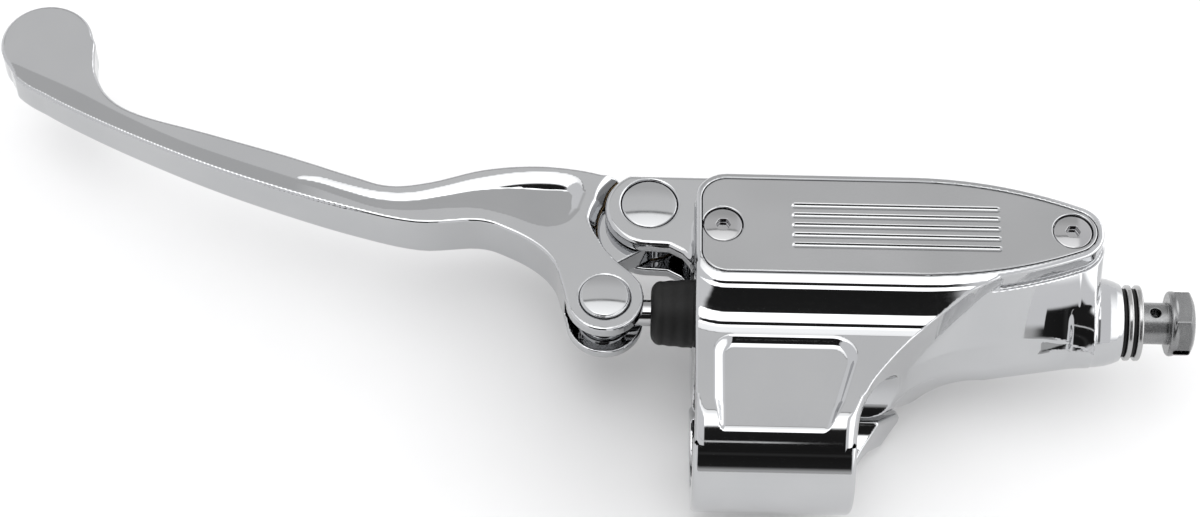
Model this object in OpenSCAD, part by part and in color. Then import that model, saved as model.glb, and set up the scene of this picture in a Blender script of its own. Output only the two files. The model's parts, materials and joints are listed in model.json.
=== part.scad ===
// Handlebar brake master cylinder with a side lever, a covered reservoir and a split bar clamp.
// Frame: origin at the middle of the handlebar bore, X along the bar (lever side is -X),
// Y away from the rider, Z up. All sizes are in millimetres.

/* [Handlebar clamp] */
// Diameter of the handlebar
bar_d = 25.4; // [24:0.1:25.6]
// Outside radius of the clamp shell
clamp_r = 18.1; // [17.5:0.1:18.4]
// Half width of the clamp along the bar
clamp_half = 18; // [17:0.5:19]
// Tilt of the split plane below horizontal, in degrees
split_tilt = 46; // [42:1:50]
// Gap between the lugs at the screw side
split_gap = 1.2; // [0.8:0.1:1.6]
// Distance of the clamp screws from the bar axis
screw_reach = 19.6; // [19.4:0.1:20.2]

/* [Cylinder] */
// Diameter of the master cylinder bore
bore_d = 14.3; // [13.5:0.1:14.6]
// Bore axis in front of the bar axis
bore_y = 28.9; // [28.5:0.1:29.3]
// Bore axis above the bar axis
bore_z = 1.7; // [1.5:0.1:2]
// Outside radius of the cylinder barrel
barrel_r = 9.2; // [9:0.1:9.4]
// Outlet thread radius
outlet_r = 4.76; // [4.5:0.01:5]

/* [Reservoir] */
// Level of the reservoir rim
rim_z = 22.5; // [21.5:0.5:23]
// Middle line of the reservoir cover
cover_y = 39.5; // [39:0.5:40]
// Half width of the cover
cover_half = 12.2; // [12:0.1:12.4]
// Thickness of the cover plate
cover_t = 2.6; // [2.2:0.1:2.8]
// Width of the rim round the cover
rim_w = 1.6; // [1.4:0.1:1.8]

/* [Lever] */
// Thickness of the lever
lever_t = 12.7; // [12.5:0.1:13]
// Lever pivot, side to side
pivot_x = -28; // [-28.5:0.5:-27.5]
// Lever pivot, fore and aft
pivot_y = 53.9; // [53.5:0.1:54.3]
// Pushrod trunnion, side to side
trunnion_x = -37.7; // [-38:0.1:-37.4]
// Radius of the body's pivot ears
ear_r = 10; // [9.6:0.1:10.2]

/* [Hidden] */
$fn = 64;
eps = 0.01;
bar_r = bar_d / 2;
bore_r = bore_d / 2;
body_x0 = -clamp_half - 0.1;
cover_x0 = body_x0 + rim_w;
cover_corner = 5.5;
ogive_r = 100;
tip_x = 65.4;
tip_r = 5.4;
ogive_run = sqrt(pow(ogive_r - tip_r, 2) - pow(ogive_r - cover_half, 2));
ogive_x = tip_x - ogive_run;
ogive_turn = asin(ogive_run / (ogive_r - tip_r));
cover_screw_x = [-11.9, tip_x];
cover_screw_r = 2.05;
cover_head_r = 4.3;
reservoir_floor_z = -1.5;
reservoir_base_z = bore_z - 6.9;
reservoir_ledge = 1.4;
well_y0 = bore_y + bore_r + 3.6;
shelf_z = 12;
shoulder_z = 17.2;
gasket_t = 1.3;
gasket_z = rim_z - cover_t - gasket_t;
post_r = 4.9;
port_y = bore_y + 2.6;
supply_port_x = 12;
vent_port_x = 20.2;
deck_z = 17.3;
bore_x1 = 62;
barrel_x1 = 62;
keel_r = 7;
keel_drop = 7.2;
keel_reach = 3.3;
keel_x1 = 48;
throat_x = 71;
throat_r = 9.95;
neck_r = 8.8;
neck_x1 = 77.8;
outlet_x0 = 66;
flange_x = neck_x1 + 10.6;
flange_r = 7.3;
hex_r = 8.08;
mouth_r = 8;
mouth_depth = 3;
lever_z0 = bore_z - lever_t / 2;
lever_z1 = bore_z + lever_t / 2;
tongue_half = 3;
shim_t = 0.5;
ear_in = tongue_half + 0.05 + shim_t + 0.05;
ear_t = 3.3;
ear_z1 = bore_z + ear_in + ear_t;
ear_back_y = pivot_y + 7.8;
pin_z0 = bore_z - 8;
pin_r = 4.75;
pin_head_r = 6.3;
pin_head_t = 2.3;
bush_r = 6.2;
slot_half = 3.2;
fork_r = 8.7;
trunnion_r = 5.65;
rod_r = 3;
rod_tip_x = -7.6;
screw_x = [-9.5, 9.5];
screw_r = 3.15;
screw_head_r = 4.75;
washer_r = 8.5;
seat_x = -9.6;

// ---------------------------------------------------------------- helpers

// Points on an arc about c, from angle a0 to a1 in n steps.
function arc(c, r, a0, a1, n) =
    [for (i = [0:n]) let (a = a0 + (a1 - a0) * i / n) [c[0] + r * cos(a), c[1] + r * sin(a)]];

// One point of a Catmull-Rom segment between b and c.
function spline_point(a, b, c, d, t) =
    0.5 * ((2 * b) + (c - a) * t + (2 * a - 5 * b + 4 * c - d) * t * t
        + (3 * b - a - 3 * c + d) * t * t * t);

// Smooth open curve through the points, with n steps between each two.
function spline(p, n) =
    let (last = len(p) - 1)
    concat([for (i = [0:last - 1], j = [0:n - 1])
        spline_point(p[max(i - 1, 0)], p[i], p[i + 1], p[min(i + 2, last)], j / n)],
        [p[last]]);

// Outline of the cover, grown by g: square-cornered at the lever end, an ogive at the outlet end.
function cover_outline(g) =
    let (x = cover_x0 + cover_corner, y0 = cover_y - cover_half, y1 = cover_y + cover_half,
        r = cover_corner + g, turn = ogive_turn)
    concat(
        arc([x, y0 + cover_corner], r, 180, 270, 8),
        arc([ogive_x, y0 + ogive_r], ogive_r + g, 270, 270 + turn, 10),
        arc([tip_x, cover_y], tip_r + g, -90 + turn + 8, 90 - turn - 8, 12),
        arc([ogive_x, y1 - ogive_r], ogive_r + g, 90 - turn, 90, 10),
        arc([x, y1 - cover_corner], r, 90, 180, 8));

module along_x(x0, x1) {
    translate([x0, 0, 0]) rotate([90, 0, 90]) linear_extrude(x1 - x0) children();
}

module rod_x(x0, x1, r, r2 = undef) {
    translate([x0, bore_y, bore_z]) rotate([0, 90, 0])
        cylinder(h = x1 - x0, r1 = r, r2 = is_undef(r2) ? r : r2);
}

module ring_x(x0, x1, r_out, r_in) {
    difference() {
        rod_x(x0, x1, r_out);
        rod_x(x0 - 1, x1 + 1, r_in);
    }
}

module rod_z(x, y, z0, z1, r) {
    translate([x, y, z0]) cylinder(h = z1 - z0, r = r);
}

// Frame of the split plane: Y forward and down along the plane, Z square to it.
module split_frame() {
    rotate([-split_tilt, 0, 0]) children();
}

// Right-hand edge of the clamp and shell seen from above.
flank = spline([[17.3, -22], [17.3, -8], [19.4, 0.5], [24.3, 8], [31, 15.5], [40, 22.5]], 5);

module flank_plan(back_y) {
    polygon(concat([[body_x0, -22]], flank, [[40.5, 26], [40.5, back_y], [body_x0, back_y]]));
}

// ---------------------------------------------------------------- body

module shell_section() {
    split = [cos(split_tilt), -sin(split_tilt)];
    square_to = [sin(split_tilt), cos(split_tilt)];
    deck_a = 180 - asin(deck_z / clamp_r);
    polygon(concat(
        [0.15 * square_to, 0.15 * square_to - sqrt(pow(clamp_r, 2) - 0.0225) * split],
        arc([0, 0], clamp_r, 180 - split_tilt - 1.5, deck_a, 10),
        [[14.2, deck_z], [15, 17.9], [16.2, 18.7], [19.6, 18.9], [22.4, 19.6], [24.2, 21]],
        [[30, 21], [36, 2], [28, -10.6]],
        [24.5 * split + 0.5 * split_gap * square_to, 0.5 * split_gap * square_to]));
}

// The lugs taper away under the barrel towards the outlet.
module underside_profile() {
    translate([0, 80, 0]) rotate([90, 0, 0]) linear_extrude(110)
        polygon([[body_x0, -25], [26, -25], [30.5, -18.4], [36, -15], [42, -12.6], [50, -11.6],
            [50, 30], [body_x0, 30]]);
}

module shell() {
    intersection() {
        along_x(body_x0, 50) shell_section();
        translate([0, 0, -30]) linear_extrude(60) flank_plan(45);
        underside_profile();
    }
}

module cove_cut() {
    along_x(body_x0 - 1, 41)
        polygon([[-25, 40], [-25, deck_z], [14.2, deck_z], [15, 17.9], [16.2, 18.7],
            [19.6, 18.9], [22.4, 19.6], [24.2, 21], [cover_y - cover_half - rim_w, 22],
            [cover_y - cover_half - rim_w, 40]]);
}

// One drafted casting: the reservoir's foot, the barrel, the keel in front of and below it, and
// the throat they all run into at the outlet.
module casting() {
    intersection() {
        hull() {
            translate([0, 0, shoulder_z - 0.7]) linear_extrude(0.7) polygon(cover_outline(rim_w + 0.8));
            translate([body_x0, bore_y, bore_z]) rotate([0, 90, 0])
                cylinder(h = barrel_x1 - body_x0, r = barrel_r, $fn = 48);
            translate([body_x0, bore_y - keel_reach, bore_z - keel_drop]) rotate([0, 90, 0])
                cylinder(h = keel_x1 - body_x0, r = keel_r, $fn = 48);
            rod_x(throat_x - 1, throat_x, throat_r);
        }
        translate([body_x0, -30, -30]) cube([120, 120, 90]);
    }
}

module neck() {
    rod_x(throat_x - eps, neck_x1, throat_r, neck_r);
}

module tower() {
    translate([0, 0, reservoir_base_z]) linear_extrude(rim_z - reservoir_base_z)
        polygon(cover_outline(rim_w));
}

module ear_plan() {
    intersection() {
        union() {
            translate([pivot_x, pivot_y - 1.1]) circle(ear_r);
            translate([0, pivot_y]) polygon([[pivot_x - 4, 10], [-13, 10], [4, -1], [10, -10],
                [body_x0 + 1, -16], [body_x0, -16], [-20.5, -13], [-23.5, -11.3],
                [pivot_x, -1.1 - ear_r]]);
        }
        translate([-60, 0]) square([120, ear_back_y]);
    }
}

module ear_block() {
    translate([0, 0, bore_z - ear_in - ear_t]) linear_extrude(2 * (ear_in + ear_t)) ear_plan();
}

module pivot_gap() {
    translate([body_x0 - 40, 20, bore_z - ear_in]) cube([40, 60, 2 * ear_in]);
}

// A shallow flat in the top of the shell, open towards the rider.
module deck_pocket() {
    translate([0, 0, deck_z - 1.5]) linear_extrude(3)
        polygon(concat([[10.5, -12], [-12.5, -12]], arc([-9, 9.7], 3.5, 180, 90, 6),
            arc([12.2, 9], 4.2, 90, -15, 7)));
}

module reservoir_cavity() {
    translate([0, 0, gasket_z]) linear_extrude(10) polygon(cover_outline(0.1));
    difference() {
        union() {
            translate([0, 0, shelf_z]) linear_extrude(6) polygon(cover_outline(-reservoir_ledge));
            intersection() {
                translate([0, 0, reservoir_floor_z]) linear_extrude(30)
                    polygon(cover_outline(-reservoir_ledge));
                translate([-30, well_y0, -10]) cube([120, 40, 60]);
            }
        }
        for (x = cover_screw_x) rod_z(x, cover_y, -10, rim_z, post_r);
    }
}

module ports() {
    rod_z(supply_port_x, port_y, bore_z, shelf_z + 1, 1.5);
    rod_z(vent_port_x, port_y, bore_z, shelf_z + 1, 0.5);
}

module cylinder_bore() {
    rod_x(body_x0 - 1, bore_x1, bore_r);
    rod_x(body_x0 - 1, body_x0 + mouth_depth, mouth_r);
    rod_x(seat_x - 2.3, seat_x - 1.2, bore_r + 0.9);
    rod_x(bore_x1 - 1, neck_x1, 1.6);
    rod_x(outlet_x0, neck_x1 + 1, outlet_r);
}

module ear_bores() {
    rod_z(pivot_x, pivot_y, bore_z - 20, bore_z + 20, pin_r + 0.03);
    rod_z(pivot_x, pivot_y, ear_z1 - pin_head_t, bore_z + 20, pin_head_r + 0.15);
}

module clamp_hook(grow) {
    split_frame() translate([body_x0 + 3 - grow, -16.4 - grow, -1])
        cube([29 + 2 * grow, 1.7 + 2 * grow, 2.4 + grow]);
}

module clamp_screw_holes() {
    split_frame() for (x = screw_x) translate([x, screw_reach, 0])
        cylinder(h = 9.5, r = screw_r + 0.03);
}

module body() {
    color("silver") difference() {
        union() {
            shell();
            casting();
            neck();
            tower();
            ear_block();
        }
        cove_cut();
        deck_pocket();
        rotate([0, 90, 0]) translate([0, 0, -60]) cylinder(h = 160, r = bar_r);
        cylinder_bore();
        reservoir_cavity();
        ports();
        pivot_gap();
        ear_bores();
        clamp_hook(0.15);
        clamp_screw_holes();
        for (x = cover_screw_x) rod_z(x, cover_y, rim_z - 16, rim_z, cover_screw_r + 0.03);
    }
}

// ---------------------------------------------------------------- clamp

module clamp_plan() {
    polygon(concat([[body_x0, -22]], [for (p = flank) if (p[0] < 30) p],
        [[29.5, 14], [29.5, 30], [body_x0, 30]]));
}

module bar_clamp() {
    color("silver") difference() {
        intersection() {
            union() {
                split_frame() difference() {
                    union() {
                        rotate([0, 90, 0]) translate([0, 0, -40]) cylinder(h = 80, r = clamp_r);
                        translate([-40, 0, -9.5]) cube([80, 24.5, 12]);
                    }
                    translate([-50, -30, -0.15]) cube([100, 30, 60]);
                    translate([-50, -eps, -0.5 * split_gap]) cube([100, 60, 60]);
                }
                clamp_hook(0);
            }
            translate([0, 0, -40]) linear_extrude(80) clamp_plan();
        }
        rotate([0, 90, 0]) translate([0, 0, -60]) cylinder(h = 120, r = bar_r);
        split_frame() for (x = screw_x) translate([x, screw_reach, -20]) {
            cylinder(h = 30, r = screw_r + 0.15);
            cylinder(h = 20 - 4.6, r = screw_head_r + 0.4);
        }
    }
}

module clamp_screws() {
    color("gray") split_frame() for (x = screw_x) translate([x, screw_reach, 0]) {
        translate([0, 0, -5.6]) cylinder(h = 14.6, r = screw_r - 0.02);
        difference() {
            translate([0, 0, -11.6]) cylinder(h = 6.1, r = screw_head_r);
            translate([0, 0, -12]) cylinder(h = 3.6, r = 2.75, $fn = 6);
        }
    }
}

module clamp_screw_washers() {
    color("gray") split_frame() for (x = screw_x) translate([x, screw_reach, -5.5])
        difference() {
            cylinder(h = 0.85, r = screw_head_r + 0.2);
            translate([0, 0, -1]) cylinder(h = 3, r = screw_r + 0.1);
        }
}

// ---------------------------------------------------------------- reservoir

module reservoir_cover() {
    flute_step = 2.6;
    flute_len = 46;
    flute_mid_x = 26.4;
    color("silver") difference() {
        translate([0, 0, rim_z - cover_t]) linear_extrude(cover_t) polygon(cover_outline(0));
        for (x = cover_screw_x) {
            rod_z(x, cover_y, rim_z - 5, rim_z + 1, cover_screw_r + 0.15);
            rod_z(x, cover_y, rim_z - 1.95, rim_z + 1, cover_head_r + 0.2);
        }
        for (i = [-2:2]) translate([flute_mid_x, cover_y + flute_step * i, rim_z])
            cube([flute_len, 1, 0.8], center = true);
    }
}

module cover_diaphragm() {
    color("dimgray") difference() {
        union() {
            translate([0, 0, gasket_z]) linear_extrude(gasket_t) polygon(cover_outline(0));
            intersection() {
                translate([0, 0, gasket_z - 6]) linear_extrude(6 + gasket_t)
                    polygon(cover_outline(-reservoir_ledge - 1));
                translate([-4, well_y0 + 1, 0]) cube([60, 40, 40]);
            }
        }
        intersection() {
            translate([0, 0, gasket_z - 5]) linear_extrude(10)
                polygon(cover_outline(-reservoir_ledge - 2.2));
            translate([-2.8, well_y0 + 2.2, 0]) cube([57.6, 40, 40]);
        }
        for (x = cover_screw_x) rod_z(x, cover_y, gasket_z - 1, rim_z, cover_screw_r + 0.2);
    }
}

module cover_screws() {
    color("gray") for (x = cover_screw_x) difference() {
        union() {
            rod_z(x, cover_y, rim_z - 14, rim_z - 1, cover_screw_r);
            rod_z(x, cover_y, rim_z - 1.9, rim_z - 0.1, cover_head_r);
        }
        translate([x, cover_y, rim_z - 1.4]) cylinder(h = 3, r = 1.45, $fn = 6);
    }
}

module fluid_baffle() {
    color("gray") difference() {
        translate([8.6, port_y - 2.2, shelf_z + 0.05]) cube([14.4, 6.2, 0.9]);
        for (x = [supply_port_x, vent_port_x]) rod_z(x, port_y, shelf_z - 1, shelf_z + 3, 0.9);
    }
}

// ---------------------------------------------------------------- piston and its parts

module piston() {
    r = bore_r - 0.06;
    color("goldenrod") difference() {
        union() {
            rod_x(seat_x, 0, r);
            rod_x(0, 15.4, 4.6);
            rod_x(3.4, 5.4, r);
            rod_x(13.4, 15.4, r);
            rod_x(15.4, 19.6, 4.2);
        }
        rod_x(seat_x - 1, rod_tip_x + 0.6, 4);
        rod_x(rod_tip_x + 0.6 - eps, rod_tip_x + 2.2, 4, 1.2);
    }
}

module primary_cup() {
    color("black") difference() {
        rod_x(15.45, 19.5, bore_r - 0.03);
        rod_x(15, 20, 4.25);
        rod_x(17.6, 20, 4.25, 6.2);
    }
}

module secondary_seal() {
    color("black") ring_x(0.1, 3.3, bore_r - 0.03, 4.65);
}

module spring_seat() {
    color("gray") difference() {
        union() {
            rod_x(19.7, 20.9, 6.3);
            rod_x(20.9, 24, 3.4);
        }
        rod_x(19, 25, 1.6);
    }
}

module return_spring() {
    coils = 9;
    wire_r = 0.7;
    coil_r = 5.1;
    spring_x0 = 21.7;
    spring_x1 = 61.2;
    steps = 12;
    sides = 6;
    rings = coils * steps;
    ring = [for (i = [0:rings], k = [0:sides - 1])
        let (a = 360 * i / steps, b = 360 * k / sides, r = coil_r + wire_r * cos(b))
        [spring_x0 + (spring_x1 - spring_x0) * i / rings + wire_r * sin(b),
            bore_y + r * cos(a), bore_z + r * sin(a)]];
    sides_of = [for (i = [0:rings - 1], k = [0:sides - 1])
        let (n = (k + 1) % sides)
        [i * sides + k, i * sides + n, (i + 1) * sides + n, (i + 1) * sides + k]];
    start_cap = [[for (k = [sides - 1:-1:0]) k]];
    end_cap = [[for (k = [0:sides - 1]) rings * sides + k]];
    color("silver") polyhedron(ring, concat(sides_of, start_cap, end_cap));
}

module stop_washer() {
    color("gray") ring_x(seat_x - 1.15, seat_x - 0.05, bore_r - 0.05, 4.4);
}

module bore_snap_ring() {
    color("dimgray") difference() {
        ring_x(seat_x - 2.25, seat_x - 1.25, bore_r + 0.8, 5.3);
        translate([seat_x - 3, bore_y - 2.5, bore_z - 12]) cube([3, 5, 10]);
    }
}

module dust_boot() {
    color("black") translate([0, bore_y, bore_z]) rotate([0, 90, 0]) rotate_extrude()
        polygon(concat([[3.1, -27.4]], arc([5.1, -25.4], 2, -90, 0, 6),
            [[7.8, body_x0], [7.9, body_x0 + 2.9], [6.2, body_x0 + 2.9], [6, -18.5],
                [5.4, -24.6], [3.1, -25.6]]));
}

module pushrod() {
    color("gainsboro") {
        rod_x(-42.9, rod_tip_x - 3, rod_r);
        translate([rod_tip_x - 3.4, bore_y, bore_z]) sphere(r = 3.4);
    }
}

// ---------------------------------------------------------------- lever

// A groove round an upright pin at (x, y), left at radius r.
module clip_groove(x, y, z0, z1, r) {
    difference() {
        rod_z(x, y, z0, z1, r + 8);
        rod_z(x, y, z0 - 1, z1 + 1, r);
    }
}

module trunnion() {
    color("silver") difference() {
        union() {
            rod_z(trunnion_x, bore_y, lever_z0 - 1.6, lever_z1 + 0.4, trunnion_r);
            rod_z(trunnion_x, bore_y, lever_z1 + 0.3, lever_z1 + 1, trunnion_r - 0.3);
        }
        rod_x(-50, -20, rod_r + 0.03);
        clip_groove(trunnion_x, bore_y, lever_z0 - 1.15, lever_z0 - 0.3, trunnion_r - 0.6);
    }
}

module c_clip(x, y, z0, z1, r_out, r_in) {
    difference() {
        rod_z(x, y, z0, z1, r_out);
        rod_z(x, y, z0 - 1, z1 + 1, r_in);
        translate([x - 1.6, y - 20, z0 - 1]) cube([3.2, 20, z1 - z0 + 2]);
    }
}

module trunnion_clip() {
    color("dimgray") c_clip(trunnion_x, bore_y, lever_z0 - 1.1, lever_z0 - 0.35,
        trunnion_r + 1, trunnion_r - 0.55);
}

// The lever's outline, drawn about its pivot: the back from the tip to the ear, the edge beside
// the ear, and the front from the fork to the tip.
blade_back = spline([[-131.4, 42.4], [-130, 35.9], [-126.3, 28.3], [-118.8, 23.2],
    [-102.7, 18.3], [-84.5, 12.6], [-68.4, 6.8], [-59.4, 4], [-50, 5.2], [-38, 8.9], [-26, 10.2],
    [-15, 9.2], [-6.5, 6.8]], 3);
blade_inner = spline([[-9.5, -12.4], [-7.5, -15], [-4, -18.2], [-1.6, -21.4]], 3);
blade_front = spline([[-18.3, -26], [-19.6, -21], [-21.4, -16], [-25.5, -11.4], [-32, -7.5],
    [-39, -5.3], [-52.5, -6.1], [-67.4, -3], [-84.5, 2.2], [-102.7, 8.8], [-120.8, 16.7],
    [-134.5, 23.5], [-142.6, 28.3], [-147.2, 32.4]], 3);
trunnion_c = [trunnion_x - pivot_x, bore_y - pivot_y];
tip_c = [-141.8, 43];
tip_plan_r = 10.7;
relief_c = [0.3, -5.1];
relief_r = 12.4;
fork_slot_r = 9;
taper_u = -50;
taper_slope = 0.038;

module blade_plan() {
    polygon(concat(blade_back, [[-8, 0]], blade_inner, arc(trunnion_c, fork_r, 15, -170, 16),
        blade_front));
}

module tongue_plan() {
    circle(8.7);
    polygon([[-4, 7.7], [-14, 8.5], [-16, -14], [-10.5, -16], [1, -8.6]]);
}

module ear_relief(z) {
    translate([0, 0, z]) linear_extrude(10) {
        circle(ear_r + 0.6);
        translate(relief_c) circle(relief_r);
        polygon([[-3, 25], [18, 25], [18, -20], [relief_c[0] - 4, relief_c[1]]]);
    }
}

// The blade thins towards its tip: its underside rises from taper_u on.
module blade_taper() {
    run = 120;
    translate([taper_u, 80, lever_z0]) rotate([90, 0, 0]) linear_extrude(160)
        polygon([[0, 0], [-run, taper_slope * run], [-run, -1], [0, -1]]);
}

module lever() {
    color("silver") translate([pivot_x, pivot_y, 0]) difference() {
        union() {
            translate([0, 0, lever_z0]) linear_extrude(lever_t) blade_plan();
            translate([0, 0, lever_z0]) linear_extrude(lever_t) tongue_plan();
            rod_z(tip_c[0], tip_c[1], lever_z0, lever_z1, tip_plan_r);
        }
        blade_taper();
        ear_relief(bore_z + tongue_half);
        ear_relief(bore_z - tongue_half - 10);
        translate([0, 0, bore_z - slot_half]) linear_extrude(2 * slot_half) {
            translate(trunnion_c) circle(fork_slot_r);
            translate(trunnion_c + [-10.3, -15]) square([30, 15]);
        }
        rod_z(trunnion_c[0], trunnion_c[1], lever_z0 - 1, lever_z1 + 1, trunnion_r + 0.05);
        rod_z(0, 0, lever_z0, lever_z1, bush_r);
    }
}

module pivot_bushing() {
    color("goldenrod") difference() {
        rod_z(pivot_x, pivot_y, bore_z - tongue_half, bore_z + tongue_half, bush_r - 0.01);
        rod_z(pivot_x, pivot_y, bore_z - 10, bore_z + 10, pin_r + 0.04);
    }
}

module pivot_shims() {
    color("goldenrod") for (side = [-1, 1])
        translate([pivot_x, pivot_y, bore_z + side * (tongue_half + 0.05 + shim_t / 2)])
            difference() {
                cylinder(h = shim_t, r = 8.2, center = true);
                cylinder(h = 2, r = pin_r + 0.1, center = true);
            }
}

module pivot_pin() {
    color("silver") difference() {
        union() {
            rod_z(pivot_x, pivot_y, pin_z0, bore_z + 6, pin_r);
            rod_z(pivot_x, pivot_y, ear_z1 - pin_head_t + eps, ear_z1 + 0.1, pin_head_r);
        }
        clip_groove(pivot_x, pivot_y, pin_z0 + 0.3, pin_z0 + 1.02, pin_r - 0.6);
    }
}

module pivot_clip() {
    color("dimgray") c_clip(pivot_x, pivot_y, pin_z0 + 0.35, pin_z0 + 1, pin_r + 1.3, pin_r - 0.55);
}

// ---------------------------------------------------------------- outlet

module banjo_bolt() {
    color("lightgray") difference() {
        union() {
            rod_x(outlet_x0 + 2, flange_x + 0.1, outlet_r - 0.03);
            rod_x(flange_x, flange_x + 1.4, flange_r);
            intersection() {
                translate([flange_x + 1.3, bore_y, bore_z]) rotate([0, 90, 0])
                    cylinder(h = 4.4, r = hex_r, $fn = 6);
                rod_x(flange_x - 8, flange_x + 5.7, 20.6, 7.2);
            }
        }
        rod_x(outlet_x0, flange_x - 2, 1.7);
        rod_z(flange_x - 3, bore_y, bore_z - 10, bore_z + 10, 1.2);
    }
}

module inner_crush_washer() {
    color("lightgray") ring_x(neck_x1 + 0.9, neck_x1 + 2.2, washer_r, outlet_r + 0.3);
}

module outer_crush_washer() {
    color("lightgray") ring_x(neck_x1 + 3.1, neck_x1 + 4.4, washer_r, outlet_r + 0.3);
}

module crush_washer_seals() {
    color("black") for (x = [neck_x1, neck_x1 + 2.2])
        ring_x(x + 0.02, x + 0.88, washer_r - 0.8, outlet_r + 0.1);
}

body();
bar_clamp();
clamp_screws();
clamp_screw_washers();
reservoir_cover();
cover_diaphragm();
cover_screws();
fluid_baffle();
piston();
primary_cup();
secondary_seal();
return_spring();
spring_seat();
stop_washer();
bore_snap_ring();
dust_boot();
pushrod();
trunnion();
trunnion_clip();
lever();
pivot_bushing();
pivot_shims();
pivot_pin();
pivot_clip();
banjo_bolt();
inner_crush_washer();
outer_crush_washer();
crush_washer_seals();
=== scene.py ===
"""Looks for the handlebar brake master cylinder: every polished piece is meshed from a distance
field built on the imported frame, and gets a procedural metal or rubber material."""

import json
import math

import bpy  # noqa: E402
import numpy as np  # noqa: E402
from mathutils import Matrix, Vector  # noqa: E402


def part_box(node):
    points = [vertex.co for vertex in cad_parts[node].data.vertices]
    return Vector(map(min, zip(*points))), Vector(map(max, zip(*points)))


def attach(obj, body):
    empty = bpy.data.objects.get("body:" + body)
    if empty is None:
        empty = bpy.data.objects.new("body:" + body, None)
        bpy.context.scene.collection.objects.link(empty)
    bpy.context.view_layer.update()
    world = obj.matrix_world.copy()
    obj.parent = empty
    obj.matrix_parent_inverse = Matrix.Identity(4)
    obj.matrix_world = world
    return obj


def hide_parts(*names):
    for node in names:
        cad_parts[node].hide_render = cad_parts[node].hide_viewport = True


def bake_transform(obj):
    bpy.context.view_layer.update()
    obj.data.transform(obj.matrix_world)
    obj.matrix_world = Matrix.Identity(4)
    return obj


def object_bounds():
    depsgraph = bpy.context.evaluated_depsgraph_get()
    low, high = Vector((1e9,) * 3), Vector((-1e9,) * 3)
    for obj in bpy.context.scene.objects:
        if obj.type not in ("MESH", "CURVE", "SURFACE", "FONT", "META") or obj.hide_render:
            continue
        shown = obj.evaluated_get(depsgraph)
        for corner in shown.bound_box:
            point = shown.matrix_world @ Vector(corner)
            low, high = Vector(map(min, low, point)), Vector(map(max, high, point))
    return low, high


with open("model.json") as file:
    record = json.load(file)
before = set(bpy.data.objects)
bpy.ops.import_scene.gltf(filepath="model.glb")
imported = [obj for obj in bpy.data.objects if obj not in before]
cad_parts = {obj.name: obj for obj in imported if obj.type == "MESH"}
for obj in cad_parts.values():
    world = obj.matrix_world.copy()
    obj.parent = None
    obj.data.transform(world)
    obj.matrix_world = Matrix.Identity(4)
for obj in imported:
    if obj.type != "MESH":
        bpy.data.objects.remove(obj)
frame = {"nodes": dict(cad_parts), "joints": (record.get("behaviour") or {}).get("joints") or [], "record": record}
cad_lo, cad_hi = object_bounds()

MM = 0.001


def box_mm(node):
    """The lowest and highest corners of a CAD node, in millimetres."""
    lo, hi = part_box(node)
    return np.array(lo) / MM, np.array(hi) / MM


def joint_mm(name):
    """A joint's place, in millimetres."""
    joint = next(j for j in frame["joints"] if j["name"] == name)
    return np.array(joint["pos_m"]) / MM


# ------------------------------------------------------------------ sizes, in mm, from the frame

body_lo, body_hi = box_mm("body")
cover_lo, cover_hi = box_mm("reservoir_cover")
piston_lo, piston_hi = box_mm("piston")
lever_lo, lever_hi = box_mm("lever")
pin_lo, pin_hi = box_mm("pivot_pin")
washer_lo, washer_hi = box_mm("inner_crush_washer")
outer_washer_lo, outer_washer_hi = box_mm("outer_crush_washer")
bolt_lo, bolt_hi = box_mm("banjo_bolt")
boot_lo, boot_hi = box_mm("dust_boot")
trunnion_lo, trunnion_hi = box_mm("trunnion")
clamp_lo, clamp_hi = box_mm("bar_clamp")
rod_lo, rod_hi = box_mm("pushrod")

BAR_R = frame["record"]["mounts"][0]["dims"]["r_mm"]
CLAMP_R = -clamp_lo[1]
BODY_X0 = clamp_lo[0]
BORE_Y, BORE_Z = (piston_lo[1:] + piston_hi[1:]) / 2
BORE_R = (piston_hi[2] - piston_lo[2]) / 2 + 0.06
PIVOT = joint_mm("lever_pivot")
TRUNNION = joint_mm("trunnion_pivot")
RIM_Z = cover_hi[2]
COVER_T = cover_hi[2] - cover_lo[2]
COVER_Y = (cover_lo[1] + cover_hi[1]) / 2
COVER_HALF = (cover_hi[1] - cover_lo[1]) / 2
COVER_X0 = cover_lo[0]
COVER_CORNER = 5.5  # radius of the cover's two square corners
TIP_R = 5.4  # radius of its round tip
TIP_X = cover_hi[0] - TIP_R
OGIVE_R = 100.0  # radius of the cover's long curved sides
OGIVE_X = TIP_X - math.sqrt((OGIVE_R - TIP_R) ** 2 - (OGIVE_R - COVER_HALF) ** 2)
RIM_W = COVER_X0 - BODY_X0
COVER_SCREW_X = (-11.9, TIP_X)
COVER_SCREW_R = 4.5
DECK_Z = 17.3  # top of the flat face in front of the reservoir
SHOULDER_Z = 17.2
# The plane between the clamp's halves passes through the bar's axis.
SPLIT = math.radians(46)
SPLIT_ALONG = (math.cos(SPLIT), -math.sin(SPLIT))
SPLIT_UP = (math.sin(SPLIT), math.cos(SPLIT))
SPLIT_GAP = 1.2
LUG_END = 24.5  # how far the clamp's lug reaches along the split
CLAMP_SCREW_X = (-9.5, 9.5)
CLAMP_SCREW_ALONG = 19.6
CLAMP_WASHER_TOP = -4.6
EAR_HALF = 6.9
EAR_Z0, EAR_Z1 = BORE_Z - EAR_HALF, BORE_Z + EAR_HALF
EAR_R = 10.0
GAP_HALF = 3.6  # half the slot between the ears
PIN_R = 4.75
PIN_HEAD_R = 6.3
PIN_RECESS = 2.3
OUTLET_R = 4.76
LEVER_Z0, LEVER_Z1 = lever_lo[2], lever_hi[2]
NECK_X1 = washer_lo[0] - 0.9

VOXEL = 0.36
FINE = VOXEL * 0.5


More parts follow.
